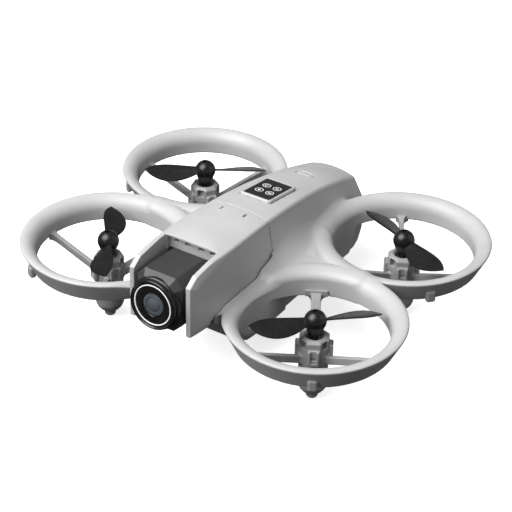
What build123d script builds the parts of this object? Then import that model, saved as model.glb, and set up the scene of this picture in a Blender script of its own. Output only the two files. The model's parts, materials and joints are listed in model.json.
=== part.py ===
"""A small ducted FPV racing drone, as an assembly of separate pieces.

The nose points to -Y, +X is the drone's starboard side and +Z is up.
The origin is at the middle of the ground under the drone. All sizes are in millimetres.
Pieces on the port side are mirror images of those on the starboard side.
"""

from build123d import *
import os
from math import atan2, cos, degrees, radians, sin

# ---------------------------------------------------------------- driving dimensions

# Layout of the four ducts
HALF_LENGTH = 85.9          # half of the overall length, lens front to rear rings
MOTOR_X = 58.0              # motor axes to the left and right of the middle
ROW_SPACING = 81.9          # front motors to rear motors
RIM_Z = 37.4                # height of the inner rim of the rings, where upper and lower mouldings meet
DUCT_R = 34.3               # inner radius of a duct
CREST_R = 38.4              # radius of the highest line of a ring's lip
CREST_RISE = 6.9            # height of that line above the rim
RING_R = 42.4               # outer radius of a ring
EDGE_RISE = 4.5             # height of the ring's outer edge above the rim
BAND_DROP = 5.0             # how far the duct wall reaches below the rim
SKIN = 1.5                  # wall of the thin mouldings
REAR_Y = HALF_LENGTH - RING_R
FRONT_Y = REAR_Y - ROW_SPACING
WAIST_Y = (REAR_Y + FRONT_Y) / 2
PARTING_RISE = 3.7          # height of the seam on a ring's outside, above the rim

# Body
BODY_HALF = 18.0            # half width of the body at the rim
HULL_HALF = 17.0            # half width of its flat belly
FLARE_HALF = 26.0           # half width where its sides flare out to the ducts
BELLY_Z = 9.7               # height of the flat belly
TAIL_Y = 73.5               # rear end of the body
NOSE_Y = -80.0              # front edge of the hood's cheeks
DECK_CROWN = 2.3            # how far the top bulges above its side creases
SEAM_TOP_Y = -13.7          # seam of hood and shell, at the top
SEAM_LOW_Y = -9.3           # and at the bottom of the sides
SEAM_GAP = 0.2
CHEEK = 3.0                 # wall of the hood's cheeks
BAY_HALF = 14.0             # half width of the camera bay
BAY_FLOOR_Z = 36.4
# (y, half width, height) of the crease between top and side, nose to tail
CREASE = [
    (NOSE_Y, 17.2, 68.4),
    (-47.5, 17.2, 68.2),
    (SEAM_TOP_Y, 16.6, 66.4),
    (12.5, 15.0, 63.4),
    (42.5, 13.8, 57.3),
    (TAIL_Y, 12.6, 48.0),
]

# Struts and motor pods
STRUT_ANGLES = (0, 120, 240)
STRUT_SLIM = 2.2
STRUT_WIDE = 4.6
POD_R = 6.85
POD_TOP = 26.4
POD_BOTTOM = 7.4
CAP_TOP = 34.4
CAP_ANGLE = 300             # way that the cap's main clip faces, on the starboard side
MOTOR_R = 4.25
MOTOR_LENGTH = 20.0
MOTOR_BASE = 8.6
BORE_CLEARANCE = 0.08
SHAFT_R = 0.5

# Propellers
PROP_R = 31.0
HUB_R = 5.2
HUB_Z = RIM_Z + 4.6
NECK_R = 3.0
NECK_BOTTOM = 32.6
# (radius, chord, thickness, pitch in degrees) of the blade's sections
BLADE_SECTIONS = [
    (3.5, 4.2, 2.2, 26),
    (9.0, 8.6, 1.5, 24),
    (15.0, 10.6, 1.2, 20),
    (22.0, 9.6, 1.0, 16),
    (28.0, 6.4, 0.8, 13),
    (PROP_R, 2.4, 0.6, 12),
]
# Rest angle of one blade, and +1 for a propeller that turns clockwise from above
PROP_REST = {
    "front_right": (40, 1),
    "front_left": (118, -1),
    "rear_right": (152, -1),
    "rear_left": (34, 1),
}

# Camera
TILT_Y = -62.0
TILT_Z = 50.7
CAMERA_REST = 4.5           # the lens looks up by this many degrees at rest
HOUSING_HALF = 12.4
HOUSING_R = 12.8            # reach of the housing's lower half about the tilt axis
HOUSING_TOP = 14.4          # and of its upper half
HOUSING_FRONT = 15.6
BARREL_R = 13.0
LENS_FRONT = 23.0
PIVOT_R = 2.0
PIVOT_CLEARANCE = 0.05

# Battery, button and panel
BATTERY = (29.0, 54.0, 17.0)
BATTERY_FRONT_Y = 12.0
BATTERY_BASE_Z = 14.2
BAY_CLEARANCE = 0.5
PANEL = (14.4, 22.0, 1.2)
PANEL_FRAME = 1.7
PANEL_Y = 11.8
BUTTON_Y = 45.6
BUTTON = (9.0, 4.0, 2.4)
BUTTON_GAP = 0.25

CORNERS = {
    "front_right": (MOTOR_X, FRONT_Y),
    "front_left": (-MOTOR_X, FRONT_Y),
    "rear_right": (MOTOR_X, REAR_Y),
    "rear_left": (-MOTOR_X, REAR_Y),
}
SIDES = {"right": 1, "left": -1}
FAR = 300.0                 # larger than the drone, for cutting blocks

pieces = {}


# ---------------------------------------------------------------- helpers

def block(x0, x1, y0, y1, z0, z1):
    """A box from its lowest to its highest corner."""
    return Pos((x0 + x1) / 2, (y0 + y1) / 2, (z0 + z1) / 2) * Box(x1 - x0, y1 - y0, z1 - z0)


def post(x, y, z0, z1, radius):
    """An upright cylinder."""
    return Pos(x, y, (z0 + z1) / 2) * Cylinder(radius, z1 - z0)


def side_slab(points, half):
    """A closed outline in (y, z), as thick as 2 * half across X."""
    outline = Polyline(*[(0, y, z) for y, z in points], close=True)
    return extrude(make_face(outline), amount=half, dir=(1, 0, 0), both=True)


def turned(points):
    """A closed outline in (radius, height), turned about the Z axis."""
    outline = Polyline(*[(r, 0, z) for r, z in points], close=True)
    return revolve(make_face(outline), Axis.Z)


def between(value, table, column):
    """A table's column at some y, on straight lines between its rows."""
    for low, high in zip(table, table[1:]):
        if value <= high[0]:
            break
    share = (value - low[0]) / (high[0] - low[0])
    return low[column] + share * (high[column] - low[column])


def deck_height(y):
    """Height of the top's middle line."""
    return between(y, CREASE, 2) + DECK_CROWN


def deck_slope(y):
    """Slope of the top in degrees, positive where it falls towards the tail."""
    return degrees(atan2(deck_height(y - 5) - deck_height(y + 5), 10))


def mirrored(shape):
    """The port side's copy of a starboard piece."""
    return mirror(shape, about=Plane.YZ)


# ---------------------------------------------------------------- body mouldings

def body_section(y, inset):
    """Outline of the body across the drone at y, pulled in by inset."""
    half = between(y, CREASE, 1) - inset
    crease_z = between(y, CREASE, 2) - inset
    foot = BODY_HALF - inset
    sides = Polyline((half, y, crease_z), (foot, y, RIM_Z), (-foot, y, RIM_Z), (-half, y, crease_z))
    crown = ThreePointArc((-half, y, crease_z), (0, y, crease_z + DECK_CROWN), (half, y, crease_z))
    return make_face([sides, crown])


def body_solid(inset):
    """The whole upper body, nose to tail, as one closed block."""
    spans = [body_section(y, inset) for y, _, _ in CREASE]
    return loft(spans, ruled=True)


def tail_cut(inset):
    """Side outline that rounds the tail over, pulled in by inset."""
    end = TAIL_Y - inset
    outline = [
        (NOSE_Y - 5, RIM_Z),
        (NOSE_Y - 5, 80),
        (end - 16, 80),
        (end - 14, deck_height(end - 14) - inset),
        (end - 6, deck_height(end - 6) - 1.2 - inset),
        (end - 1.5, deck_height(end) - 4.5 - inset),
        (end, deck_height(end) - 9 - inset),
        (end, RIM_Z),
    ]
    return side_slab(outline, 40)


def seam_cut(offset):
    """Everything ahead of the seam between hood and shell, moved back by offset."""
    outline = [
        (NOSE_Y - 20, 20),
        (NOSE_Y - 20, 90),
        (SEAM_TOP_Y - 4 + offset, 90),
        (SEAM_TOP_Y + offset, 67.5),
        (SEAM_LOW_Y + offset, 42.7),
        (SEAM_LOW_Y + offset, 20),
    ]
    return side_slab(outline, 40)


def hood_lower_edge(offset):
    """Everything below the hood's side edge, raised by offset."""
    outline = [
        (NOSE_Y - 20, 0),
        (NOSE_Y - 20, 39.4 + offset),
        (-77.6, 39.4 + offset),
        (-59.5, 40.9 + offset),
        (-19.5, 38.2 + offset),
        (SEAM_LOW_Y + offset, 42.7 + offset),
        (5, 42.7 + offset),
        (5, 0),
    ]
    return side_slab(outline, 40)


def upper_shell():
    """Cover of the body behind the hood, with the seats of the panel and the button."""
    outer = body_solid(0) & tail_cut(0)
    inner = body_solid(SKIN) & tail_cut(SKIN)
    shell = outer - inner - seam_cut(0)
    shell -= panel_place() * Box(
        PANEL[0] + 2 * PANEL_FRAME, PANEL[1] + 2 * PANEL_FRAME, 8
    )
    shell -= button_place() * extrude(
        SlotOverall(BUTTON[0] + 2 * BUTTON_GAP, BUTTON[1] + 2 * BUTTON_GAP), amount=6, both=True
    )
    return shell


def shoulder():
    """Starboard saddle between the body's side and the two rings."""
    outline = Polyline(
        (BODY_HALF, 0, 56), (22, 0, 49.5), (29, 0, 45.3), (50, 0, 43.6),
        (50, 0, 42.0), (29, 0, 43.0), (20.5, 0, 46.0), (BODY_HALF, 0, 46.0), close=True,
    )
    saddle = Pos(0, WAIST_Y, 0) * extrude(make_face(outline), amount=45, dir=(0, 1, 0), both=True)
    for row_y in (FRONT_Y, REAR_Y):
        saddle -= post(MOTOR_X, row_y, 0, FAR, RING_R)
    saddle &= block(BODY_HALF, 50, SEAM_LOW_Y - 16, REAR_Y - 12, 0, FAR)
    return saddle


def nose_outline():
    """Side outline of the hood, with the rounded front corner of its cheeks."""
    return [
        (5, 80),
        (5, 30),
        (-77.6, 30),
        (-77.6, 39.4),
        (NOSE_Y, 44.7),
        (-79.7, 56.9),
        (-76.8, 63.7),
        (-71.5, 67.4),
        (-53.1, 70.4),
        (-53.1, 80),
    ]


def front_hood():
    """Cover over the camera: a roof and two cheeks, open at the top front."""
    hood = body_solid(0) & side_slab(nose_outline(), 40) & seam_cut(-SEAM_GAP)
    hood -= hood_lower_edge(0)
    hood -= block(-BAY_HALF, BAY_HALF, NOSE_Y - 5, 5, 20, 64.6)
    hood -= block(-BAY_HALF + 0.1, BAY_HALF - 0.1, NOSE_Y - 5, -52.3, 20, 90)
    for x in (-6.4, 6.4):
        hood -= Pos(x, -18.3, 70) * Box(0.8, 3.5, 4.0)
    return hood


def hull_outline(inset):
    """Side outline of the lower body, pulled in by inset."""
    return [
        (-69 + inset, BAY_FLOOR_Z + 5),
        (-69 + inset, 33 + inset),
        (-57, 26.5 + inset),
        (-46, 17.5 + inset),
        (-31, BELLY_Z + inset),
        (60, BELLY_Z + inset),
        (68.5 - inset, 14.5 + inset),
        (TAIL_Y - inset, 24),
        (TAIL_Y - inset, BAY_FLOOR_Z + 5),
    ]


def hull_section():
    """Outline of the lower body across the drone."""
    return Polyline(
        (FLARE_HALF, 0, RIM_Z + 1), (FLARE_HALF, 0, 20), (HULL_HALF, 0, BELLY_Z),
        (-HULL_HALF, 0, BELLY_Z), (-FLARE_HALF, 0, 20), (-FLARE_HALF, 0, RIM_Z + 1),
        close=True,
    )


def belly_tub():
    """Lower half of the body, open at the top, with concave sides that are part of the ducts."""
    tub = side_slab(hull_outline(0), 40)
    tub &= extrude(make_face(hull_section()), amount=FAR, dir=(0, 1, 0), both=True)
    waist = (FRONT_Y + 27, REAR_Y - 27)
    for side in (-1, 1):
        x0, x1 = sorted((side * BODY_HALF, side * 40))
        tub -= block(x0, x1, *waist, 0, FAR)
        tub -= block(x0, x1, REAR_Y + 14, FAR, 0, FAR)
        tub -= block(x0, x1, -FAR, FRONT_Y - 24, 0, FAR)
    for x, y in CORNERS.values():
        tub -= post(x, y, 0, FAR, DUCT_R)
    tub -= block(-FAR, FAR, -FAR, FAR, RIM_Z, FAR)
    hollow = side_slab(hull_outline(SKIN), BODY_HALF - SKIN)
    hollow &= block(-FAR, FAR, -44, FAR, 0, FAR)
    tub -= hollow
    tub -= block(-FAR, FAR, -FAR, -44, BAY_FLOOR_Z, FAR)
    tub -= battery_mouth()
    for x, y in screw_places():
        tub += post(x, y, BELLY_Z + 1, BELLY_Z + 5, 2.6) & side_slab(hull_outline(0), 40)
        tub -= post(x, y, 0, BELLY_Z + 1, 1.9)
        tub -= post(x, y, 0, FAR, 0.95)
    tub -= post(0, FLOW_Y, 0, BELLY_Z + 5, 3.6)
    return tub


# ---------------------------------------------------------------- rings, struts and pods

def ring_lip():
    """Rounded upper skin of a duct's ring, about the origin, at the rim's height."""
    top = [
        (DUCT_R, 0),
        (DUCT_R + 0.35, 2.4),
        (DUCT_R + 1.6, 4.9),
        (CREST_R - 1.0, 6.6),
        (CREST_R, CREST_RISE),
        (CREST_R + 1.6, 6.6),
        (RING_R - 0.8, 5.7),
        (RING_R, EDGE_RISE),
        (RING_R - 0.1, PARTING_RISE),
    ]
    under = [
        (RING_R - SKIN, PARTING_RISE),
        (CREST_R + 1.2, 5.2),
        (CREST_R - 0.4, 5.2),
        (DUCT_R + 2.3, 3.4),
        (DUCT_R + SKIN, 0),
    ]
    return Pos(0, 0, RIM_Z) * turned(top + under)


def own_side(x, y):
    """The space that belongs to the duct at (x, y): beside the body and on its side of the waist."""
    side = 1 if x > 0 else -1
    x0, x1 = sorted((side * BODY_HALF, side * FAR))
    y0, y1 = (WAIST_Y, FAR) if y > WAIST_Y else (-FAR, WAIST_Y)
    return block(x0, x1, y0, y1, 0, FAR)


def ring(x, y):
    """A ring's upper lip, cut where it meets the body and its neighbour."""
    return Pos(x, y, 0) * ring_lip() & own_side(x, y)


def strut(angle, width):
    """A strut from the pod up to the duct's wall, about the motor's axis."""
    outline = [
        (POD_R - 0.6, 24.9),
        (DUCT_R + 0.4, 34.9),
        (DUCT_R + 0.4, 30.4),
        (POD_R - 0.6, 20.9),
    ]
    bar = Polyline(*[(r, 0, z) for r, z in outline], close=True)
    bar = extrude(make_face(bar), amount=width / 2, dir=(0, 1, 0), both=True)
    return Rot(0, 0, angle) * bar


def strut_pad(angle):
    """Flat bracket where the wide strut joins the duct's wall."""
    return Rot(0, 0, angle) * block(DUCT_R - 1.4, DUCT_R + 0.4, -5.5, 5.5, 32.4, 35.6)


def duct_frame(x, y):
    """Lower wall of a duct with its three struts and the motor's pod."""
    side = 1 if x > 0 else -1
    band = turned([
        (DUCT_R, RIM_Z), (DUCT_R, RIM_Z - BAND_DROP), (DUCT_R + SKIN, RIM_Z - BAND_DROP),
        (RING_R - 0.1, RIM_Z + PARTING_RISE), (RING_R - SKIN, RIM_Z + PARTING_RISE),
        (DUCT_R + SKIN, RIM_Z - 2.6), (DUCT_R + SKIN, RIM_Z),
    ])
    frame = band - block(-FAR, FLARE_HALF + 0.05 - MOTOR_X, -FAR, FAR, 0, FAR)
    wide = STRUT_WIDE if y < WAIST_Y else STRUT_SLIM
    for angle in STRUT_ANGLES:
        frame += strut(angle, wide if angle == 120 else STRUT_SLIM)
    frame += strut_pad(120)
    frame += post(0, 0, POD_BOTTOM, POD_TOP, POD_R)
    frame -= post(0, 0, 0, FAR, MOTOR_R + BORE_CLEARANCE)
    if side < 0:
        frame = mirrored(frame)
    return Pos(x, y, 0) * frame & own_side(x, y)


def motor_cap():
    """Clip-on collar over a motor, about the origin, with its main clip facing +X."""
    collar = extrude(RegularPolygon(POD_R, 8, major_radius=False), amount=CAP_TOP - POD_TOP)
    collar = chamfer(collar.edges().group_by(Axis.Z)[-1], 1.1)
    cap = Pos(0, 0, POD_TOP) * collar
    for angle in (0, 90, 270):
        arm = block(POD_R + 0.1, 8.7, -2.6, 2.6, 22.2, 30.4)
        arm -= block(8.0, 9.0, -1.5, 1.5, 23.6, 31.0)
        arm += block(POD_R - 1.5, 8.2, -2.6, 2.6, POD_TOP + 0.4, 30.4)
        cap += Rot(0, 0, angle) * arm
    for angle in (45, 135, 225, 315):
        cap -= Rot(0, 0, angle) * block(5.4, 9, -1.5, 1.5, 29.6, CAP_TOP - 1.2)
    cap -= post(0, 0, 0, MOTOR_BASE + MOTOR_LENGTH + 0.2, MOTOR_R + BORE_CLEARANCE)
    cap -= post(0, 0, 0, FAR, NECK_R + 0.6)
    return cap


def motor():
    """Coreless motor, about the origin."""
    can = post(0, 0, MOTOR_BASE, MOTOR_BASE + MOTOR_LENGTH, MOTOR_R)
    can = chamfer(can.edges(), 0.4)
    can += post(0, 0, MOTOR_BASE + MOTOR_LENGTH, MOTOR_BASE + MOTOR_LENGTH + 1.2, 1.5)
    can -= post(0, 0, MOTOR_BASE + 4, FAR, SHAFT_R + 0.05)
    return can


def landing_foot():
    """Plug that closes a pod's lower end and ends in a small foot, about the origin."""
    foot = turned([
        (0, 0), (2.3, 0), (2.7, 0.5), (2.8, 2.9), (5.0, 4.2), (6.1, 5.6),
        (POD_R, POD_BOTTOM - 0.1), (MOTOR_R - 0.2, POD_BOTTOM - 0.1), (MOTOR_R - 0.2, MOTOR_BASE - 0.1),
        (0, MOTOR_BASE - 0.1),
    ])
    return foot


def ring_clip(angle):
    """Small locking tab under a ring's outer edge, about the motor's axis."""
    clip = block(37.6, 40.6, -2.3, 2.3, 31.4, 38.2)
    clip = chamfer(clip.edges().group_by(Axis.Z)[0], 0.8)
    band = turned([
        (DUCT_R - 2, RIM_Z - 7), (DUCT_R + SKIN + 0.05, RIM_Z - BAND_DROP),
        (RING_R, RIM_Z + PARTING_RISE + 0.1), (DUCT_R - 2, RIM_Z + 8),
    ])
    return Rot(0, 0, angle) * clip - band


# ---------------------------------------------------------------- propellers

def blade(turn):
    """A twisted blade along +X. turn is +1 for a propeller that turns clockwise."""
    spans = []
    for radius, chord, thickness, pitch in BLADE_SECTIONS:
        outline = Rot(0, 90, 0) * Ellipse(thickness / 2, chord / 2)
        spans.append(Pos(radius, 0, 0) * Rot(-turn * pitch, 0, 0) * outline)
    return loft(spans)


def propeller(turn):
    """Ball hub, neck and two blades, about the origin."""
    hub = Pos(0, 0, HUB_Z) * Sphere(HUB_R)
    hub -= post(0, 0, HUB_Z + HUB_R - 1.0, FAR, 1.5)
    hub += turned([
        (0, NECK_BOTTOM), (1.6, NECK_BOTTOM), (NECK_R - 0.4, 34.6), (NECK_R + 0.6, 36.2),
        (HUB_R - 0.6, HUB_Z - 3.0), (HUB_R - 0.3, HUB_Z - 1.5), (0, HUB_Z - 1.5),
    ])
    for angle in (0, 180):
        hub += Pos(0, 0, HUB_Z) * Rot(0, 0, angle) * blade(turn)
    hub -= post(0, 0, 0, HUB_Z, SHAFT_R)
    return hub


def motor_shaft():
    """Steel shaft that joins a propeller to its motor, about the origin."""
    return post(0, 0, MOTOR_BASE + 5, HUB_Z, SHAFT_R)


# ---------------------------------------------------------------- camera

def camera_place():
    """From a level camera about its tilt axis to its place in the drone."""
    return Pos(0, TILT_Y, TILT_Z) * Rot(-CAMERA_REST, 0, 0)


def lens_turned(points):
    """A closed outline in (radius, distance ahead of the tilt axis), turned about the lens axis."""
    return Rot(90, 0, 0) * turned(points)


def camera_housing():
    """Box of the camera, rounded at the back so that it can tilt."""
    half = HOUSING_HALF
    box = block(-half, half, -HOUSING_FRONT, 0, -HOUSING_R, HOUSING_TOP)
    across = Rot(0, 90, 0)
    box += across * Cylinder(HOUSING_R, 2 * half)
    box += across * Cylinder(HOUSING_TOP, 2 * half) & block(-half, half, 0, 20, 0, 20)
    for side in (-1, 1):
        corner = Polyline(
            (side * 8.4, 0, HOUSING_TOP), (side * half, 0, 9.8), (side * 20, 0, 9.8), (side * 20, 0, 20),
            (side * 8.4, 0, 20), close=True,
        )
        box -= extrude(make_face(corner), amount=30, dir=(0, 1, 0), both=True)
        heel = Polyline(
            (side * 8.4, 0, -HOUSING_R), (side * half, 0, -8.8), (side * 20, 0, -8.8),
            (side * 20, 0, -20), (side * 8.4, 0, -20), close=True,
        )
        box -= extrude(make_face(heel), amount=30, dir=(0, 1, 0), both=True)
    bevel = Polyline(
        (0, -HOUSING_FRONT - 1, HOUSING_TOP - 2.2), (0, -HOUSING_FRONT + 1.4, HOUSING_TOP + 0.2),
        (0, -HOUSING_FRONT - 1, HOUSING_TOP + 0.2), close=True,
    )
    box -= extrude(make_face(bevel), amount=half, dir=(1, 0, 0), both=True)
    hollow = block(-half + SKIN, half - SKIN, -HOUSING_FRONT + SKIN, 6, -8, 7)
    box -= hollow
    box -= lens_turned([(0, 10), (7.4, 10), (7.4, 30), (0, 30)])
    return box


def camera_trunnions():
    """Two short pins, one each side, on which the camera tilts."""
    return [
        Pos(side * (HOUSING_HALF + 0.75), 0, 0) * Rot(0, 90, 0) * Cylinder(PIVOT_R, 1.5)
        for side in (-1, 1)
    ]


def lens_barrel():
    """Stepped black barrel in front of the housing."""
    front = LENS_FRONT
    back = HOUSING_FRONT
    return lens_turned([
        (7.0, back), (12.4, back), (BARREL_R, back + 0.8), (BARREL_R, back + 3.4), (12.5, back + 3.8),
        (12.5, back + 4.6), (12.9, back + 5.0), (12.9, front - 0.8), (12.2, front), (10.6, front),
        (10.2, front - 0.5), (7.0, front - 0.5),
    ])


def lens_trim_ring():
    """Thin white ring in the barrel's face."""
    front = LENS_FRONT - 0.5
    return lens_turned([(9.2, front), (10.1, front), (10.1, front + 0.3), (9.2, front + 0.3)])


def lens_cone():
    """Dark conical baffle between the white ring and the glass."""
    front = LENS_FRONT - 0.5
    return lens_turned([
        (6.95, 17.2), (6.95, front), (9.15, front), (9.15, front + 0.2), (8.6, front + 0.2),
        (5.7, front - 1.6), (5.7, 17.2),
    ])


def lens_glass():
    """Front element of the lens, domed."""
    return lens_turned([(0, 19.2), (5.6, 19.2), (5.6, 22), (0, 22)]) & Pos(0, -10.7, 0) * Sphere(11.2)


def lens_stack():
    """Inner tube of the lens with its smaller elements."""
    return lens_turned([(0, 8.4), (5.4, 8.4), (5.6, 9.0), (5.6, 19.1), (3.2, 19.1), (2.4, 17.4), (0, 17.4)])


def sensor_board():
    """Circuit board with the image sensor, inside the housing."""
    return block(-9.5, 9.5, -7.6, -6.4, -7.6, 6.6) + block(-4, 4, -8.3, -7.6, -4, 4)


def camera_cradle():
    """Bracket in the bay with two ears that carry the camera's pins."""
    inner = HOUSING_HALF + 0.3
    cradle = block(-BAY_HALF, BAY_HALF, TILT_Y - 3, TILT_Y + 12, BAY_FLOOR_Z, BAY_FLOOR_Z + 0.9)
    for side in (-1, 1):
        x0, x1 = sorted((side * inner, side * BAY_HALF))
        cradle += block(x0, x1, TILT_Y - 5, TILT_Y + 7, BAY_FLOOR_Z, TILT_Z + 5)
    cradle -= Pos(0, TILT_Y, TILT_Z) * Rot(0, 90, 0) * Cylinder(PIVOT_R + PIVOT_CLEARANCE, 60)
    cradle += block(-BAY_HALF, BAY_HALF, TILT_Y + 15.2, TILT_Y + 16.4, BAY_FLOOR_Z, 58)
    cradle += block(-BAY_HALF, BAY_HALF, TILT_Y + 12, TILT_Y + 15.3, BAY_FLOOR_Z, BAY_FLOOR_Z + 0.9)
    return cradle


# ---------------------------------------------------------------- panel, button and inner parts

FLOW_Y = -20.0


def panel_place():
    """Middle of the status panel's upper face, tilted with the top."""
    return Pos(0, PANEL_Y, deck_height(PANEL_Y)) * Rot(-deck_slope(PANEL_Y), 0, 0)


def status_panel():
    """Black window over the status lights."""
    return panel_place() * Pos(0, 0, -PANEL[2] / 2 + 0.2) * Box(*PANEL)


def panel_frame():
    """Raised frame around the status panel."""
    outer = Box(PANEL[0] + 2 * PANEL_FRAME - 0.1, PANEL[1] + 2 * PANEL_FRAME - 0.1, 2.2)
    outer = chamfer(outer.edges().group_by(Axis.Z)[-1], 0.5)
    outer -= Box(PANEL[0] + 0.1, PANEL[1] + 0.1, 4)
    return panel_place() * Pos(0, 0, -0.75) * outer


def status_lights():
    """Four small lights under the panel, on a strip of board."""
    strip = Box(12, 18, 0.8)
    for x in (-3.2, 3.2):
        for y in (-4.4, 4.4):
            strip += Pos(x, y, 0.7) * Box(2.4, 2.4, 0.6)
    return panel_place() * Pos(0, 0, -3.0) * strip


def button_place():
    """Middle of the power button's upper face, tilted with the top."""
    return Pos(0, BUTTON_Y, deck_height(BUTTON_Y) - 0.1) * Rot(-deck_slope(BUTTON_Y), 0, 0)


def power_button():
    """Oval push button in the rear of the top."""
    cap = extrude(SlotOverall(BUTTON[0], BUTTON[1]), amount=-BUTTON[2])
    cap = chamfer(cap.edges().group_by(Axis.Z)[-1], 0.3)
    return button_place() * cap


def button_switch():
    """Switch under the power button, on its board."""
    return button_place() * (Pos(0, 0, -4.6) * Box(5, 3.4, 2.0) + Pos(0, 0, -6.1) * Box(16, 8, 1.0))


def flight_board():
    """Main circuit board with its chips, above the battery."""
    board = block(-13, 13, -34, 32, 38.6, 39.8)
    board += block(-5, 5, -20, -10, 39.8, 41.2)
    board += block(-7, 1, 2, 10, 39.8, 40.8)
    board += block(4, 9, 4, 12, 39.8, 42.0)
    board += block(-9, 9, 22, 28, 39.8, 43.0)
    return board


def board_posts():
    """Posts that carry the main board above the belly."""
    return [post(x, y, BELLY_Z + SKIN, 38.6, 1.8) for x in (-8.4, 8.4) for y in (-26, 2)]


def flow_camera():
    """Small downward camera in the belly that holds the drone's place."""
    eye = post(0, FLOW_Y, BELLY_Z + 0.3, BELLY_Z + 6, 3.5)
    return eye + block(-8, 8, FLOW_Y - 3.5, FLOW_Y + 3.5, BELLY_Z + 5, BELLY_Z + 6.2)


def battery_mouth():
    """Opening in the tail through which the battery slides."""
    half = BATTERY[0] / 2 + BAY_CLEARANCE
    low = BATTERY_BASE_Z - BAY_CLEARANCE
    high = BATTERY_BASE_Z + BATTERY[2] + BAY_CLEARANCE
    return block(-half, half, BATTERY_FRONT_Y, FAR, low, high)


def battery_pack():
    """Battery with its grip end, which slides out at the tail."""
    half = BATTERY[0] / 2
    top = BATTERY_BASE_Z + BATTERY[2]
    end = BATTERY_FRONT_Y + BATTERY[1]
    pack = block(-half, half, BATTERY_FRONT_Y, end, BATTERY_BASE_Z, top)
    pack = fillet(pack.edges().filter_by(Axis.Y), 2.5)
    grip = block(-half + 0.6, half - 0.6, end - 4, TAIL_Y + 1.5, BATTERY_BASE_Z + 4.5, top - 0.6)
    grip = fillet(grip.edges().filter_by(Axis.Y), 2.0)
    for x in (-6, -2, 2, 6):
        grip -= block(x - 0.6, x + 0.6, TAIL_Y + 0.7, FAR, BATTERY_BASE_Z + 7, top - 3)
    return pack + grip


def battery_contacts():
    """Contact block at the inner end of the battery bay."""
    return block(-9, 9, BATTERY_FRONT_Y - 5.2, BATTERY_FRONT_Y - 0.6, BELLY_Z + SKIN, 27)


def bay_roof():
    """Thin shelf above the battery, which guides it."""
    top = BATTERY_BASE_Z + BATTERY[2] + BAY_CLEARANCE
    return block(-BODY_HALF + SKIN, BODY_HALF - SKIN, BATTERY_FRONT_Y - 5.2, 68, top, top + 1.2)


def screw_places():
    """Middles of the belly's screws."""
    return [(x, y) for x in (-13.4, 13.4) for y in (-27.0, 3.0)]


def belly_screws():
    """Four small screws in the belly."""
    screws = []
    for x, y in screw_places():
        screw = post(x, y, BELLY_Z + 0.1, BELLY_Z + 1, 1.85)
        screw += post(x, y, BELLY_Z + 1, BELLY_Z + 4.8, 0.9)
        screw -= Pos(x, y, BELLY_Z + 0.3) * Box(2.4, 0.5, 0.5)
        screw -= Pos(x, y, BELLY_Z + 0.3) * Box(0.5, 2.4, 0.5)
        screws.append(screw)
    return screws


# ---------------------------------------------------------------- the assembly

def build_body():
    pieces["upper_shell"] = upper_shell()
    pieces["front_hood"] = front_hood()
    pieces["belly_tub"] = belly_tub()
    pieces["shoulder_right"] = shoulder()
    pieces["shoulder_left"] = mirrored(shoulder())
    pieces["status_panel"] = status_panel()
    pieces["panel_frame"] = panel_frame()
    pieces["status_lights"] = status_lights()
    pieces["power_button"] = power_button()
    pieces["button_switch"] = button_switch()
    pieces["flight_board"] = flight_board()
    pieces["board_posts"] = Compound(board_posts())
    pieces["flow_camera"] = flow_camera()
    pieces["battery_pack"] = battery_pack()
    pieces["battery_contacts"] = battery_contacts()
    pieces["battery_bay_roof"] = bay_roof()
    pieces["belly_screws"] = Compound(belly_screws())


def build_corner(name, x, y):
    """Everything of one duct, with the propeller at its rest angle."""
    side = 1 if x > 0 else -1
    place = Pos(x, y, 0)
    rest, turn = PROP_REST[name]
    cap_angle = CAP_ANGLE if side > 0 else 180 - CAP_ANGLE
    clip_angle = 300 if y < WAIST_Y else 318
    clip_angle = clip_angle if side > 0 else 180 - clip_angle
    pieces["ring_" + name] = ring(x, y)
    pieces["duct_frame_" + name] = duct_frame(x, y)
    pieces["motor_cap_" + name] = place * Rot(0, 0, cap_angle) * motor_cap()
    pieces["motor_" + name] = place * motor()
    pieces["landing_foot_" + name] = place * landing_foot()
    pieces["ring_clip_" + name] = place * ring_clip(clip_angle)
    pieces["propeller_" + name] = place * Rot(0, 0, rest) * propeller(turn)
    pieces["motor_shaft_" + name] = place * motor_shaft()


def build_camera():
    place = camera_place()
    pieces["camera_housing"] = place * camera_housing()
    pieces["camera_trunnions"] = Compound([place * pin for pin in camera_trunnions()])
    pieces["lens_barrel"] = place * lens_barrel()
    pieces["lens_trim_ring"] = place * lens_trim_ring()
    pieces["lens_cone"] = place * lens_cone()
    pieces["lens_glass"] = place * lens_glass()
    pieces["lens_stack"] = place * lens_stack()
    pieces["sensor_board"] = place * sensor_board()
    pieces["camera_cradle"] = camera_cradle()


build_body()
for corner, (corner_x, corner_y) in CORNERS.items():
    build_corner(corner, corner_x, corner_y)
build_camera()

os.makedirs("parts", exist_ok=True)
for node, shape in pieces.items():
    export_step(shape, f"parts/{node}.step")
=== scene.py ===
"""Looks of the small ducted FPV drone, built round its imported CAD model.

Shapes are worked out in millimetres and placed in metres, in the model's own frame:
the nose points to -Y, +X is starboard and +Z is up. The moulded body is one smooth
form, described by signed distances and meshed here.
"""

import json
from math import cos, pi, radians, sin

import bmesh
import bpy
import numpy as np
from mathutils import Matrix, Vector


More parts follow.
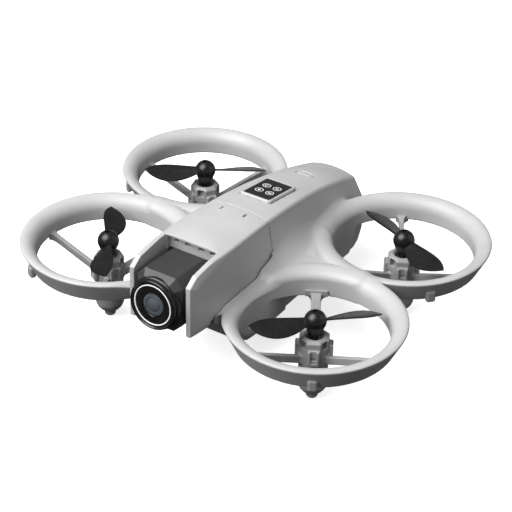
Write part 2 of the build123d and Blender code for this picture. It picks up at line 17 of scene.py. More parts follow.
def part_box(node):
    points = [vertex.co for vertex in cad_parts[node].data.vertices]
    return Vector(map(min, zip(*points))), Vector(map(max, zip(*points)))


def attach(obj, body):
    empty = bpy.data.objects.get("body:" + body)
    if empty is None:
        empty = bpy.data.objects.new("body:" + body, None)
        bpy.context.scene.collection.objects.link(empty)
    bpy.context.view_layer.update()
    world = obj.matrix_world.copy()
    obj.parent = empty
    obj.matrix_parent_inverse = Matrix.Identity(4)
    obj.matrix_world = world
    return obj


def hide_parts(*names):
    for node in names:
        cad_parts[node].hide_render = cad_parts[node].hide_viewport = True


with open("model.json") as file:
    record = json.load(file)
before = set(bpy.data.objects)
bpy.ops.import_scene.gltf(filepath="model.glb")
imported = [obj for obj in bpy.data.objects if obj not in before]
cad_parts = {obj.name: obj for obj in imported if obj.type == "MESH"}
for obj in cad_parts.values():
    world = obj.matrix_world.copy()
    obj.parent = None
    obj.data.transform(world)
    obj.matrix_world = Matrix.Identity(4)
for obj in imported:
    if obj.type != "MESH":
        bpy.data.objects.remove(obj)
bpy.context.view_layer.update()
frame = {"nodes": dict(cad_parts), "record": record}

MM = 0.001


def middle_of(node):
    """Middle of a CAD node's box, in millimetres."""
    low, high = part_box(node)
    return (low + high) / 2 / MM


# ---------------------------------------------------------------- driving dimensions, in millimetres

CORNERS = ("front_right", "front_left", "rear_right", "rear_left")
MOTORS = {corner: middle_of("motor_" + corner).xy for corner in CORNERS}
MOTOR_X, FRONT_Y = MOTORS["front_right"]
REAR_Y = MOTORS["rear_right"][1]
WAIST_Y = (FRONT_Y + REAR_Y) / 2

# Rings: RIM_Z is where their lips start, and the rises are above it
RIM_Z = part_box("ring_front_right")[0].z / MM
DUCT_R = 34.3
RING_R = 42.4
CREST_R = 40.0
CREST_RISE = 6.9
EDGE_RISE = 6.4
LIP_R = 6.4
BAND_DROP = 5.0
LIP_SINK = 3.0
WEB_REACH = 25.0
WEB_HALF = 60.0

# Body and hull
BODY_HALF = 18.0
CHEEK_FLARE = 1.0
HULL_HALF = 17.0
FLARE_HALF = 26.0
BELLY_Z = 9.7
TAIL_Y = 77.2
TAIL_ROUND = 6.0
NOSE_Y = -80.0
DECK_CROWN = 2.3
DECK_EDGE = 1.2
SKIN = 1.5
SCREW_SEAT_R = 2.1
SCREW_SEAT_DEEP = 1.0
EYE_SEAT_R = 3.9
EYE_SEAT_DEEP = 3.0
DECK_CUT = 8.0

# Hood and camera bay
BAY_HALF = 14.0
BAY_FLOOR_Z = 36.4
BAY_BACK_Y = -44.0
BAY_CEILING_Z = 61.0
MOUTH_Y = -59.5
MOUTH_FLOOR_Z = 30.0
ROOF_EDGE_Y = -52.3
ROOF_WALL_Y = -49.8
ROOF_UNDER_Z = 68.3
NOTCHES = ((3.8, 1.3), (9.8, 1.1))
CHEEK_FACE = 2.5
SEAM_GAP = 0.16
TICK_X, TICK_Y = 6.4, -18.3

# Struts, pods and caps
STRUT_SLIM = 2.2
STRUT_WIDE = 4.6
STRUT_DEEP = 4.0
STRUT_Z = 25.4
STRUT_SLOPE = 0.361
STRUT_START = 8.0
POD_R = 6.85
POD_TOP = 26.4
POD_BOTTOM = 7.4
CAP_TOP = 34.4
CAP_ANGLE = 300
TAB_ANGLES = {"front": 300, "rear": 318}
TAB_OUT = 39.1
TAB_Z = 35.5
MOTOR_R = 4.25

# Propellers
PROP_R = 31.0
BLADE_START = 3.4
BLADE_CHORD = 11.6
BLADE_SWEEP = 2.4
HUB_R = 5.2
HUB_Z = 42.0
NECK_BOTTOM = 32.6

# Camera: lengths are from its tilt axis, and CAMERA_REST is how many degrees the lens looks up at rest
TILT_Y = -62.0
TILT_Z = 50.7
CAMERA_REST = 4.5
HOUSING_HALF = 12.4
HOUSING_R = 12.8
HOUSING_TOP = 14.4
HOUSING_FACE = 18.0
HOUSING_BEVEL = 15.2
FLAT_HALF = 8.4
BACK_SWELL = 1.3

# Edges of the cells that surfaces are meshed in
BODY_CELL = 0.8
HOOD_CELL = 0.48
POD_CELL = 0.45
CAP_CELL = 0.3375
CAMERA_CELL = 0.42
PANEL_CELL = 0.4

# Rest angle of one blade, and +1 for a propeller that turns clockwise from above
PROP_REST = {
    "front_right": (44, 1),
    "front_left": (124.5, -1),
    "rear_right": (155.5, -1),
    "rear_left": (34, 1),
}

# (y, half width, height) of the crease between the body's top and its side
CREASE = np.array([
    (-80.0, 17.2, 68.3),
    (-47.5, 17.2, 68.2),
    (-27.5, 17.2, 67.7),
    (-7.5, 16.1, 65.8),
    (12.5, 15.0, 63.2),
    (32.5, 14.2, 60.0),
    (50.5, 13.4, 55.0),
    (73.5, 12.4, 47.8),
])
HALF_CURVE = np.polynomial.Polynomial.fit(CREASE[:, 0], CREASE[:, 1], 4)
HEIGHT_CURVE = np.polynomial.Polynomial.fit(CREASE[:, 0], CREASE[:, 2], 4)


# ---------------------------------------------------------------- signed distances, in millimetres

def both(a, b, radius):
    """Where two shapes overlap, with their shared edge rounded to the radius."""
    outside = np.hypot(np.maximum(a + radius, 0), np.maximum(b + radius, 0))
    return np.minimum(np.maximum(a, b), -radius) + outside


def either(a, b, radius):
    """Two shapes joined, with a fillet of the radius where they meet."""
    inside = np.hypot(np.maximum(radius - a, 0), np.maximum(radius - b, 0))
    return np.maximum(np.minimum(a, b), radius) - inside


def step(value, low, high):
    """0 below low, 1 above high, smooth between."""
    share = np.clip((value - low) / (high - low), 0, 1)
    return share * share * (3 - 2 * share)


def between(value, low, high):
    """Distance outside the span from low to high."""
    return np.abs(value - (low + high) / 2) - (high - low) / 2


def slab(y, z, outline):
    """Distance to a convex outline in (y, z), whose points run anticlockwise."""
    far = np.full_like(y, -1e9)
    for (y0, z0), (y1, z1) in zip(outline, outline[1:] + outline[:1]):
        length = np.hypot(y1 - y0, z1 - z0)
        far = np.maximum(far, ((y - y0) * (z1 - z0) - (z - z0) * (y1 - y0)) / length)
    return far


def body_top(x, y, z):
    """Distance above the crowned top."""
    half = HALF_CURVE(y)
    return z - HEIGHT_CURVE(y) - DECK_CROWN * (1 - (x / half) ** 2)


def body_side(x, y, z):
    """Distance outside the body's side."""
    height = HEIGHT_CURVE(y)
    share = np.clip((height - z) / (height - RIM_Z), -0.4, 1)
    half = HALF_CURVE(y)
    low_half = BODY_HALF + CHEEK_FLARE * step(-y, 45, 75)
    return x - half - (low_half - half) * share


def upper_body(x, y, z, inset=0.0):
    """Body above the rim's height, nose to tail, pulled in by inset."""
    shape = both(body_side(x, y, z) + inset, body_top(x, y, z) + inset, DECK_EDGE)
    shape = both(shape, y - TAIL_Y + inset, TAIL_ROUND)
    return np.maximum(shape, RIM_Z - 2 - z)


def hull(x, y, z, inset=0.0):
    """Body below the rim's height, with the flares that carry the ducts."""
    outline = [
        (-62 + inset, RIM_Z + 1), (-60 + inset, 35 + inset), (-56, 31 + inset), (-45, 19.5 + inset),
        (-31, BELLY_Z + inset), (68, BELLY_Z + inset), (72.5 - inset, 12.2 + inset),
        (76 - inset, 18.5 + inset), (TAIL_Y - inset, 25), (TAIL_Y - inset, RIM_Z + 1),
    ]
    # How far the flare's underside climbs: with the chin at the nose, and steeply to its end near the tail
    lift = np.interp(y, (-61, -46, -31, 51.5, 55.5, 58), (13.8, 5.4, 0, 0, 13.2, 40))
    flare = np.maximum(x - FLARE_HALF, (x - HULL_HALF) * 0.752 - (z - BELLY_Z - lift) * 0.659)
    flare = np.maximum(flare, nearest_duct(x, y) - RING_R)
    width = np.minimum(flare, x - HULL_HALF - 0.5) + inset
    chin = 5.0 * step(-y, 35, 55)
    tail = 5.2 * step(y, 60, 72) * step(z, 22, 33)
    return both(width, slab(y, z, outline), 0.8 + chin + tail)


def duct_radius(x, y, row_y):
    """Distance from the axis of the starboard motor in the row at row_y."""
    return np.hypot(x - MOTOR_X, y - row_y)


def nearest_duct(x, y):
    return np.minimum(duct_radius(x, y, FRONT_Y), duct_radius(x, y, REAR_Y))


def ring_puck(x, y, z, radius):
    """A ring's outer form with its hole still closed. The front lips sink towards the body."""
    sink = LIP_SINK * (1 - step(x, 19, 31)) * step(WAIST_Y - y, 6, 24)
    top = z - (RIM_Z + CREST_RISE - sink) + 0.1 * np.maximum(radius - CREST_R, 0) ** 2
    band = (radius - RING_R) * 0.902 - (z - RIM_Z - EDGE_RISE + sink) * 0.431
    base = RIM_Z - BAND_DROP - z
    return both(both(top, band, 0.8), base, 0.5)


def whole_frame(x, y, z):
    """Body, shoulders and rings in one, before the hood and the hollows are cut."""
    x = np.abs(x)
    front = duct_radius(x, y, FRONT_Y)
    rear = duct_radius(x, y, REAR_Y)
    rings = either(ring_puck(x, y, z, front), ring_puck(x, y, z, rear), 1.5)
    web = both(np.abs(y - WAIST_Y) - WEB_REACH, x - WEB_HALF, 4.0)
    web = both(web, between(z, RIM_Z - 3.1, RIM_Z + 6.3), 2.0)
    rings = either(rings, web, 3.5)
    above = step(z, RIM_Z - 3, RIM_Z + 2)
    waist = np.exp(-((y - WAIST_Y) / 17) ** 2)
    tail = np.exp(-((y - 66) / 12) ** 2)
    body = np.minimum(upper_body(x, y, z), hull(x, y, z))
    shape = either(body, rings, 1.0 + above * (2.0 + 9.0 * waist + 1.5 * tail))
    edge = 0.7 + (LIP_R - 0.7) * above
    shape = both(shape, DUCT_R - front, edge)
    return both(shape, DUCT_R - rear, edge)


def hood_zone(x, y, z):
    """Space of the hood: ahead of its seam and above its lower edge."""
    seam = slab(y, z, [(-120, 20), (-9.3, 20), (-9.3, 42.7), (-13.7, 67.5), (-17.7, 90), (-120, 90)])
    low = (z - np.interp(y, (-77.6, -66, -59.5, -19.5, -9.3), (37.4, 38.6, 40.9, 38.2, 42.7))) * 0.95
    return np.maximum.reduce([seam, -low, body_side(np.abs(x), y, z) - 0.15])


# ---------------------------------------------------------------- meshes from signed distances

def zero_surface(distance, low, high, cell, relax=2):
    """Points, quads and normals of the surface where a distance function is zero."""
    low = np.array(low, float)
    counts = np.ceil((np.array(high, float) - low) / cell).astype(int)
    size = 16
    blocks = -(-counts // size)
    field = np.full(blocks * size + 1, 1e3, np.float32)
    reach = size * cell * 1.3
    starts = np.stack(np.meshgrid(*[np.arange(n) for n in blocks], indexing="ij"), -1).reshape(-1, 3) * size
    middles = distance(*(low + (starts + size / 2) * cell).T)
    nodes = np.arange(size + 1)
    grid = np.stack(np.meshgrid(nodes, nodes, nodes, indexing="ij"), -1).reshape(-1, 3)
    order = np.argsort(-np.abs(middles))
    for start, middle in zip(starts[order], middles[order]):
        span = tuple(slice(s, s + size + 1) for s in start)
        if abs(middle) > reach:
            field[span] = middle
        else:
            places = low + (start + grid) * cell
            field[span] = distance(*places.T).reshape((size + 1,) * 3)
    points, quads = surface_net(field)
    points = settle(low + points * cell, distance, 3)
    for _ in range(relax):
        points = settle(even_out(points, quads), distance, 2)
    return points, quads, slope(points, distance)[0]


def surface_net(field):
    """A vertex in each cell that the zero surface crosses, and a quad across each crossed edge."""
    inside = field < 0
    shape = np.array(field.shape) - 1
    corners = [(i, j, k) for i in (0, 1) for j in (0, 1) for k in (0, 1)]
    total = np.zeros(shape, np.int8)
    for i, j, k in corners:
        total += inside[i:shape[0] + i, j:shape[1] + j, k:shape[2] + k]
    cells = np.argwhere((total > 0) & (total < 8))
    label = np.full(shape, -1, np.int64)
    label[tuple(cells.T)] = np.arange(len(cells))
    sums = np.zeros((len(cells), 3))
    hits = np.zeros(len(cells))
    for axis in range(3):
        for first in corners:
            if first[axis]:
                continue
            ahead = np.array(first)
            ahead[axis] = 1
            a = field[tuple((cells + first).T)]
            b = field[tuple((cells + ahead).T)]
            crossed = (a < 0) != (b < 0)
            place = np.tile(np.array(first, float), (len(cells), 1))
            place[:, axis] = np.where(crossed, a / np.where(crossed, a - b, 1), 0)
            sums += place * crossed[:, None]
            hits += crossed
    points = cells + sums / hits[:, None]
    quads = []
    for axis in range(3):
        u, v = np.delete(np.eye(3, dtype=int), axis, 0)
        change = np.diff(inside, axis=axis)
        edges = np.argwhere(change)
        others = [a for a in range(3) if a != axis]
        keep = np.all((edges[:, others] > 0) & (edges[:, others] < shape[others]), axis=1)
        edges = edges[keep]
        loop = np.stack([label[tuple((edges - a).T)] for a in (u + v, v, 0 * u, u)], 1)
        turned = inside[tuple(edges.T)] == (axis == 1)
        loop[turned] = loop[turned][:, ::-1]
        quads.append(loop)
    return points, np.concatenate(quads)


def slope(points, distance, reach=0.03):
    """Unit normals of a distance function at points, and how fast it grows along them."""
    rise = np.empty_like(points)
    for axis in range(3):
        move = np.zeros(3)
        move[axis] = reach
        rise[:, axis] = distance(*(points + move).T) - distance(*(points - move).T)
    length = np.maximum(np.linalg.norm(rise, axis=1), 1e-6)
    return rise / length[:, None], length / (2 * reach)


def settle(points, distance, times):
    """Moves points onto the zero surface."""
    for _ in range(times):
        normals, rate = slope(points, distance)
        gap = distance(*points.T) / np.clip(rate, 0.3, 3)
        points = points - np.clip(gap, -0.4, 0.4)[:, None] * normals
    return points


def even_out(points, quads):
    """Moves each vertex half way to the middle of its neighbours."""
    sums = np.zeros_like(points)
    hits = np.zeros(len(points))
    for a, b in ((0, 1), (1, 2), (2, 3), (3, 0)):
        for start, end in ((a, b), (b, a)):
            for axis in range(3):
                sums[:, axis] += np.bincount(quads[:, start], points[quads[:, end], axis], len(points))
            hits += np.bincount(quads[:, start], minlength=len(points))
    return points * 0.5 + sums / np.maximum(hits, 1)[:, None] * 0.5


def mesh_object(name, points, faces, normals=None):
    """A smooth mesh object in metres from points in millimetres."""
    mesh = bpy.data.meshes.new(name)
    if isinstance(faces, np.ndarray):
        faces = faces.tolist()
    mesh.from_pydata((np.asarray(points) * MM).tolist(), [], faces)
    mesh.shade_smooth()
    if normals is None:
        shape = bmesh.new()
        shape.from_mesh(mesh)
        bmesh.ops.recalc_face_normals(shape, faces=shape.faces)
        shape.to_mesh(mesh)
        shape.free()
        mesh.set_sharp_from_angle(angle=radians(35))
    else:
        mesh.normals_split_custom_set_from_vertices(normals.tolist())
    piece = bpy.data.objects.new(name, mesh)
    bpy.context.scene.collection.objects.link(piece)
    return piece


def part_of(points, quads, normals, chosen):
    """The chosen quads with only their own vertices."""
    quads = quads[chosen]
    used, index = np.unique(quads, return_inverse=True)
    return points[used], index.reshape(quads.shape), normals[used]


def mirrored(points, quads, normals):
    """The port side's copy of a starboard surface."""
    flip = np.array([-1, 1, 1])
    return points * flip, quads[:, ::-1], normals * flip


def carried(points, place):
    """Points moved by a 4x4 matrix."""
    matrix = np.array(place)
    return points @ matrix[:3, :3].T + matrix[:3, 3]


def moved(surface, place):
    """A surface moved by a 4x4 matrix."""
    points, quads, normals = surface
    return carried(points, place), quads, normals @ np.array(place)[:3, :3].T


def place_at(x, y, z=0.0, turn=0.0, axis="Z"):
    return Matrix.Translation((x, y, z)) @ Matrix.Rotation(radians(turn), 4, axis)


def add_piece(name, surface, material, body, slot, *nodes):
    """Makes a surface an object on its body, in place of the CAD nodes that it covers."""
    piece = mesh_object(name, *surface)
    paint(piece, material)
    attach(piece, body)
    if nodes:
        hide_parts(*nodes)
    return piece


# ---------------------------------------------------------------- the moulded body

def battery_mouth(x, y, z):
    low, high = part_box("battery_pack")
    return np.maximum.reduce([
        x - high.x / MM - 0.5, low.y / MM - y, low.z / MM - 0.5 - z, z - high.z / MM - 0.5,
    ])


def cavity(x, y, z):
    """Hollow of the body, inside walls as thick as its skin."""
    hollow = np.minimum(upper_body(x, y, z, SKIN), hull(x, y, z, SKIN))
    return np.maximum(hollow, x - BODY_HALF + SKIN)


PANEL_Y = middle_of("panel_frame").y
BUTTON_Y = middle_of("power_button").y
EYE_Y = middle_of("flow_camera").y
SCREW_X = 13.4
SCREW_ROWS = (-27.0, 3.0)

# Middle, half width, half length and corner radius of the seats in the deck
DECK_SEATS = (
    (PANEL_Y, 8.7, 12.5, 2.2),
    (BUTTON_Y, 4.8, 2.3, 2.3),
)


def on_deck(y, z, at_y):
    """Distance along the top's slope from at_y and height above its middle line."""
    tilt = np.arctan(HEIGHT_CURVE.deriv()(at_y))
    height = HEIGHT_CURVE(at_y) + DECK_CROWN
    run = (y - at_y) * np.cos(tilt) + (z - height) * np.sin(tilt)
    above = (z - height) * np.cos(tilt) - (y - at_y) * np.sin(tilt)
    return run, above


def rounded_box(x, y, half_x, half_y, radius):
    """Distance to a rounded rectangle about the origin."""
    dx = np.abs(x) - half_x + radius
    dy = np.abs(y) - half_y + radius
    return np.hypot(np.maximum(dx, 0), np.maximum(dy, 0)) + np.minimum(np.maximum(dx, dy), 0) - radius


def openings(x, y, z):
    """All that is cut from the body: hollow, battery's mouth, camera's bay and the seats of small parts."""
    bay = np.maximum.reduce([x - BODY_HALF + 2, y - BAY_BACK_Y, BAY_FLOOR_Z - z])
    mouth = np.maximum.reduce([x - BODY_HALF - 2.5, y - MOUTH_Y, MOUTH_FLOOR_Z - z])
    cuts = [cavity(x, y, z), battery_mouth(x, y, z), bay, mouth]
    for screw_y in SCREW_ROWS:
        seat = np.hypot(x - SCREW_X, y - screw_y) - SCREW_SEAT_R
        cuts.append(np.maximum(seat, z - BELLY_Z - SCREW_SEAT_DEEP))
    cuts.append(np.maximum(np.hypot(x, y - EYE_Y) - EYE_SEAT_R, z - BELLY_Z - EYE_SEAT_DEEP))
    for middle_y, half_x, half_y, corner_r in DECK_SEATS:
        run, above = on_deck(y, z, middle_y)
        cuts.append(np.maximum(rounded_box(x, run, half_x, half_y, corner_r), -above - DECK_CUT))
    return np.minimum.reduce(cuts)


def main_frame(x, y, z):
    """The mouldings of body, shoulders, rings and hull together."""
    shape = whole_frame(x, y, z)
    x = np.abs(x)
    shape = both(shape, -hood_zone(x, y, z), 0.25)
    return both(shape, -openings(x, y, z), 0.2)


def parting(x, y):
    """Height of the line where upper and lower mouldings meet."""
    radius = nearest_duct(np.abs(x), y)
    return RIM_Z + (EDGE_RISE - 1.2) * step(radius, DUCT_R + 1.5, RING_R - 1.5)


def hood(x, y, z):
    """Cover over the camera: a roof with a notched wall behind its front edge, and a cheek on each side."""
    x = np.abs(x)
    nose = slab(y, z, [
        (5, 77), (-53.1, 69.7), (-71.5, 67.4), (-76.8, 63.7), (-79.7, 56.9),
        (NOSE_Y, 44.7), (-78.8, 39.0), (-76.8, 37), (-76.8, 30), (5, 30),
    ])
    cover = both(upper_body(x, y, z), nose, 0.5)
    cover = both(cover, hood_zone(x, y, z) + SEAM_GAP, 0.25)
    cover = both(cover, (x - BAY_HALF - CHEEK_FACE) * 0.96 + nose * 0.28, 0.4)
    bay = np.maximum.reduce([x - BAY_HALF, z - BAY_CEILING_Z, y - 5])
    cover = both(cover, -bay, 0.3)
    window = np.maximum(x - BAY_HALF + 0.1, y - ROOF_EDGE_Y)
    cover = both(cover, -window, 0.35)
    recess = np.maximum.reduce([x - BAY_HALF + 0.6, z - ROOF_UNDER_Z, y - ROOF_WALL_Y])
    for notch_x, half in NOTCHES:
        notch = np.maximum.reduce([np.abs(x - notch_x) - half, between(z, 64.8, 67.8), y + 46.5])
        recess = np.minimum(recess, notch)
    cover = both(cover, -recess, 0.2)
    tick = np.maximum.reduce([np.abs(x - TICK_X) - 0.4, np.abs(y - TICK_Y) - 1.75, 60 - z])
    return np.maximum(cover, -tick)


def make_body():
    low = (-MOTOR_X - RING_R - 2, NOSE_Y - 2, BELLY_Z - 2)
    high = (MOTOR_X + RING_R + 2, REAR_Y + RING_R + 2, 74)
    points, quads, normals = zero_surface(main_frame, low, high, BODY_CELL)
    centre = points[quads].mean(1)
    above = centre[:, 2] > parting(centre[:, 0], centre[:, 1])
    upper = part_of(points, quads, normals, above)
    lower = part_of(points, quads, normals, ~above)
    rings = ["ring_" + corner for corner in CORNERS]
    add_piece("upper_moulding", upper, SHELL, "airframe", "shell_plastic",
              "upper_shell", "shoulder_right", "shoulder_left", *rings)
    add_piece("lower_moulding", lower, SHELL, "airframe", "shell_plastic", "belly_tub")
    cover = zero_surface(hood, (-20, NOSE_Y - 2, 36), (20, -6, 74), HOOD_CELL)
    add_piece("hood_cover", cover, SHELL, "airframe", "shell_plastic", "front_hood")


# ---------------------------------------------------------------- struts, pods and motor caps

def along(x, y, angle):
    """Distance out from the axis at an angle, and distance to the side of that line."""
    a = radians(angle)
    return x * cos(a) + y * sin(a), np.abs(y * cos(a) - x * sin(a))


def spider(x, y, z, wide):
    """Three struts that carry a motor's pod, about its axis. The strut at 120 degrees has its own width."""
    shape = np.maximum(np.hypot(x, y) - POD_R, between(z, POD_BOTTOM, POD_TOP))
    for angle in (0, 120, 240):
        out, side = along(x, y, angle)
        half = (wide if angle == 120 else STRUT_SLIM) / 2
        half = half + 1.6 * np.exp((out - DUCT_R) / 0.9)
        top = STRUT_Z + (out - STRUT_START) * STRUT_SLOPE
        bar = both((z - top) * 0.94, (top - STRUT_DEEP - z) * 0.94, 0.3)
        bar = both(bar, (side - half) * 0.9, 0.3)
        bar = np.maximum(np.maximum(bar, out - DUCT_R - 0.4), -out)
        shape = either(shape, bar, 1.2)
    if wide > 4:
        out, side = along(x, y, 120)
        face = np.maximum(side - 5.5, between(z, 32.4, 35.6))
        pad = both(between(out, DUCT_R - 1.4, DUCT_R + 0.4), face, 0.3)
        shape = either(shape, pad, 0.4)
    return both(shape, MOTOR_R + 0.1 - np.hypot(x, y), 0.3)


def motor_cap(x, y, z):
    """Eight-sided collar over a motor, about its axis, with clips that face +X, +Y and -Y."""
    flats = np.maximum.reduce([np.abs(along(x, y, angle)[0]) for angle in (0, 45, 90, 135)]) - POD_R
    cap = both(flats, between(z, POD_TOP, CAP_TOP), 0.25)
    cap = both(cap, (flats + 1.4) * 0.64 + (z - CAP_TOP) * 0.77, 0.3)
    for angle in (45, 135, 225, 315):
        out, side = along(x, y, angle)
        window = np.maximum.reduce([4.6 - out, side - 1.6, between(z, 29.5, 33.3)])
        cap = both(cap, -window, 0.15)
    for angle in (0, 90, 270):
        out, side = along(x, y, angle)
        block = both(between(z, 22.2, 30.4), np.maximum(side - 2.7, POD_R + 0.1 - out), 0.6)
        block = both(block, out - 8.7, 0.6)
        slot = np.maximum.reduce([7.5 - out, side - 1.35, 23.8 - z])
        block = both(block, -slot, 0.25)
        ledge = np.maximum.reduce([side - 1.35, between(z, 23.5, 25.3), between(out, 7.0, 8.2)])
        bridge = np.maximum.reduce([side - 2.4, between(z, 26.9, 30.3), between(out, 6.0, 8.0)])
        cap = np.minimum(either(cap, bridge, 0.3), np.minimum(block, ledge))
    bore = np.maximum(np.hypot(x, y) - MOTOR_R - 0.1, z - 28.9)
    neck = np.hypot(x, y) - 3.6 - 0.8 * step(z, CAP_TOP - 1.2, CAP_TOP)
    return both(cap, -np.minimum(bore, neck), 0.2)


def ring_tab(x, y, z):
    """Locking tab under a ring, out along +X from the motor's axis."""
    tab = both(np.abs(x - TAB_OUT) - 1.6, np.abs(y) - 2.3, 1.2)
    return both(tab, np.abs(z - TAB_Z) - 2.9, 1.0)


def make_pods():
    spiders = {
        row: zero_surface(lambda x, y, z: spider(x, y, z, wide), (-22, -34, 6), (38, 34, 38), POD_CELL)
        for row, wide in (("front", STRUT_WIDE), ("rear", STRUT_SLIM + 0.2))
    }
    cap = zero_surface(motor_cap, (-10, -10, 21), (10, 10, 36), CAP_CELL)
    tab = zero_surface(ring_tab, (36, -4, 30), (42, 4, 40), POD_CELL)
    for corner, (x, y) in MOTORS.items():
        row, side = corner.split("_")
        place = place_at(abs(x), y)
        surfaces = {
            "spider_": (moved(spiders[row], place), "duct_frame_"),
            "cap_": (moved(cap, place @ place_at(0, 0, 0, CAP_ANGLE)), "motor_cap_"),
            "tab_": (moved(tab, place @ place_at(0, 0, 0, TAB_ANGLES[row])), "ring_clip_"),
        }
        for start, (surface, node) in surfaces.items():
            if side == "left":
                surface = mirrored(*surface)
            add_piece(start + corner, surface, POD, "airframe", "pod_plastic", node + corner)


# ---------------------------------------------------------------- propellers

def tube_quads(rows, count):
    """Quads between neighbouring rows of count points, each row a closed loop."""
    quads = []
    for start in range(0, (rows - 1) * count, count):
        for i in range(count):
            j = (i + 1) % count
            quads.append((start + i, start + j, start + count + j, start + count + i))
    return quads


def turned(profile, steps=64):
    """Points and quads of a profile in (radius, height), turned about the Z axis."""
    turns = np.arange(steps) * 2 * pi / steps
    profile = np.array(profile, float)
    points = np.stack([
        np.outer(profile[:, 0], np.cos(turns)),
        np.outer(profile[:, 0], np.sin(turns)),
        np.outer(profile[:, 1], np.ones(steps)),
    ], -1).reshape(-1, 3)
    return points, np.array(tube_quads(len(profile), steps))


def blade(turn):
    """A twisted, swept blade along +X. turn is +1 for a propeller that turns clockwise from above."""
    spans = np.linspace(BLADE_START, PROP_R, 34)
    share = (spans - BLADE_START) / (PROP_R - BLADE_START)
    chord = BLADE_CHORD * np.sin(pi * (0.14 + 0.82 * share) ** 1.4) ** 0.62
    chord = np.maximum(chord, 1.2) * np.sqrt(np.clip(1.0 - share ** 9, 0.02, 1))
    pitch = np.radians(30 - 14 * share)
    thick = 1.6 - 0.9 * share
    sweep = BLADE_SWEEP * np.sin(pi * share) ** 0.8
    count = 28
    around = np.arange(count) * 2 * pi / count
    points = []
    for r, c, p, t, s in zip(spans, chord, pitch, thick, sweep):
        across = c / 2 * np.cos(around) - s
        up = t / 2 * np.sin(around) * (0.55 + 0.45 * np.cos(around)) + 0.06 * c * np.sin(around / 2) ** 2
        y = (across * np.cos(p) - up * np.sin(p)) * -turn
        z = across * np.sin(p) + up * np.cos(p)
        points.append(np.stack([np.full_like(y, r), y, z], -1))
    end = (len(spans) - 1) * count
    faces = tube_quads(len(spans), count)
    faces += [tuple(range(count))[::-1], tuple(range(end, end + count))]
    if turn < 0:
        faces = [face[::-1] for face in faces]
    return np.concatenate(points), faces


def joined(parts):
    """Several (points, faces) pairs as one."""
    points, faces = [], []
    for more, loops in parts:
        start = len(points)
        points += list(more)
        faces += [tuple(start + i for i in loop) for loop in loops]
    return np.array(points, float), faces


def propeller(turn):
    """Ball hub with a recess on top, neck, and two blades."""
    ball = [(HUB_R * sin(a), HUB_R * cos(a)) for a in np.radians(np.arange(18, 126, 6))]
    rim = HUB_R * cos(radians(18)) + 0.05
    neck_z = NECK_BOTTOM - HUB_Z
    profile = [(0.0, 4.1), (1.3, 4.1), (1.35, rim)] + ball
    profile += [(3.6, -5.4), (2.9, -7.2), (1.7, neck_z), (0.0, neck_z)]
    points, quads = turned(profile)
    parts = [(points, quads[:, ::-1].tolist())]
    for angle in (0, 180):
        points, faces = blade(turn)
        parts.append((carried(points, place_at(0, 0, 0, angle)), faces))
    points, faces = joined(parts)
    return points + [0, 0, HUB_Z], faces


def make_propellers():
    for corner, (x, y) in MOTORS.items():
        angle, turn = PROP_REST[corner]
        points, faces = propeller(turn)
        points = carried(points, place_at(x, y, 0, angle))
        add_piece("blades_" + corner, (points, faces), PROP, "rotor_" + corner, "propeller_black",
                  "propeller_" + corner)


# ---------------------------------------------------------------- camera

def camera_place():
    return place_at(0, TILT_Y, TILT_Z, -CAMERA_REST, "X")


def housing(x, y, z):
    """Eight-sided camera box about its tilt axis, with a wide bevel round its front. The lens faces -Y."""
    x = np.abs(x)
    ahead = -y
    sides = np.maximum(x - HOUSING_HALF, z - HOUSING_TOP)
    sides = np.maximum(sides, (x - FLAT_HALF) * 0.755 + (z - HOUSING_TOP) * 0.656)
    sides = np.maximum(sides, -z - HOUSING_R)
    sides = np.maximum(sides, (x - FLAT_HALF) * 0.707 + (-z - HOUSING_R) * 0.707)
    back = np.hypot(y, z) - np.where(z > 0, HOUSING_TOP + BACK_SWELL, HOUSING_R)
    back = np.where(y > 0, back, -1e3)
    box = both(np.maximum(sides, back), ahead - HOUSING_FACE, 0.3)
    box = both(box, sides * 0.66 + (ahead - HOUSING_BEVEL) * 0.75, 0.3)
    lens = np.maximum(np.hypot(x, z) - 7.5, 10 - ahead)
    inside = between(ahead, -6, HOUSING_FACE - 3.9)
    hollow = np.maximum.reduce([x - HOUSING_HALF + SKIN, np.abs(z) - 8, inside])
    return np.maximum(box, -np.minimum(lens, hollow))


# Each round lens part: its outline in (radius, distance ahead), material slot and covered node
LENS_PARTS = {
    "barrel": (
        [(7.0, 15.0), (12.4, 15.0), (12.7, 15.3), (12.7, 18.3), (12.4, 18.7), (12.0, 18.9), (12.0, 20.5),
         (11.7, 20.9), (11.3, 20.9), (10.8, 20.2), (7.0, 20.2)],
        "lens_black", "lens_barrel",
    ),
    "white_ring": (
        [(9.35, 20.1), (9.35, 20.4), (9.45, 20.5), (9.8, 20.5), (9.9, 20.4), (9.9, 20.1)],
        "white_trim", "lens_trim_ring",
    ),
    "lens_face": (
        [(10.6, 19.9), (10.6, 20.25), (5.9, 20.0), (5.6, 19.5), (5.6, 19.2)],
        "panel_gloss", "lens_cone",
    ),
    "front_glass": (
        [(5.5, 19.3), (5.3, 19.75), (4.3, 20.0), (3.7, 20.0), (3.6, 19.75), (3.2, 19.75), (3.1, 20.05),
         (2.2, 20.35), (1.2, 20.5), (0.0, 20.55)],
        "lens_glass", "lens_glass",
    ),
}


def make_camera():
    box = zero_surface(housing, (-14, -20, -14), (14, 16, 16), CAMERA_CELL)
    add_piece("camera_box", moved(box, camera_place()), GREY, "camera_unit", "camera_grey", "camera_housing")
    place = camera_place() @ Matrix.Rotation(pi / 2, 4, "X")
    for name, (outline, slot, node) in LENS_PARTS.items():
        points, quads = turned(outline, 96)
        add_piece(name, (carried(points, place), quads), LOOKS[slot], "camera_unit", slot, node)


# ---------------------------------------------------------------- status panel

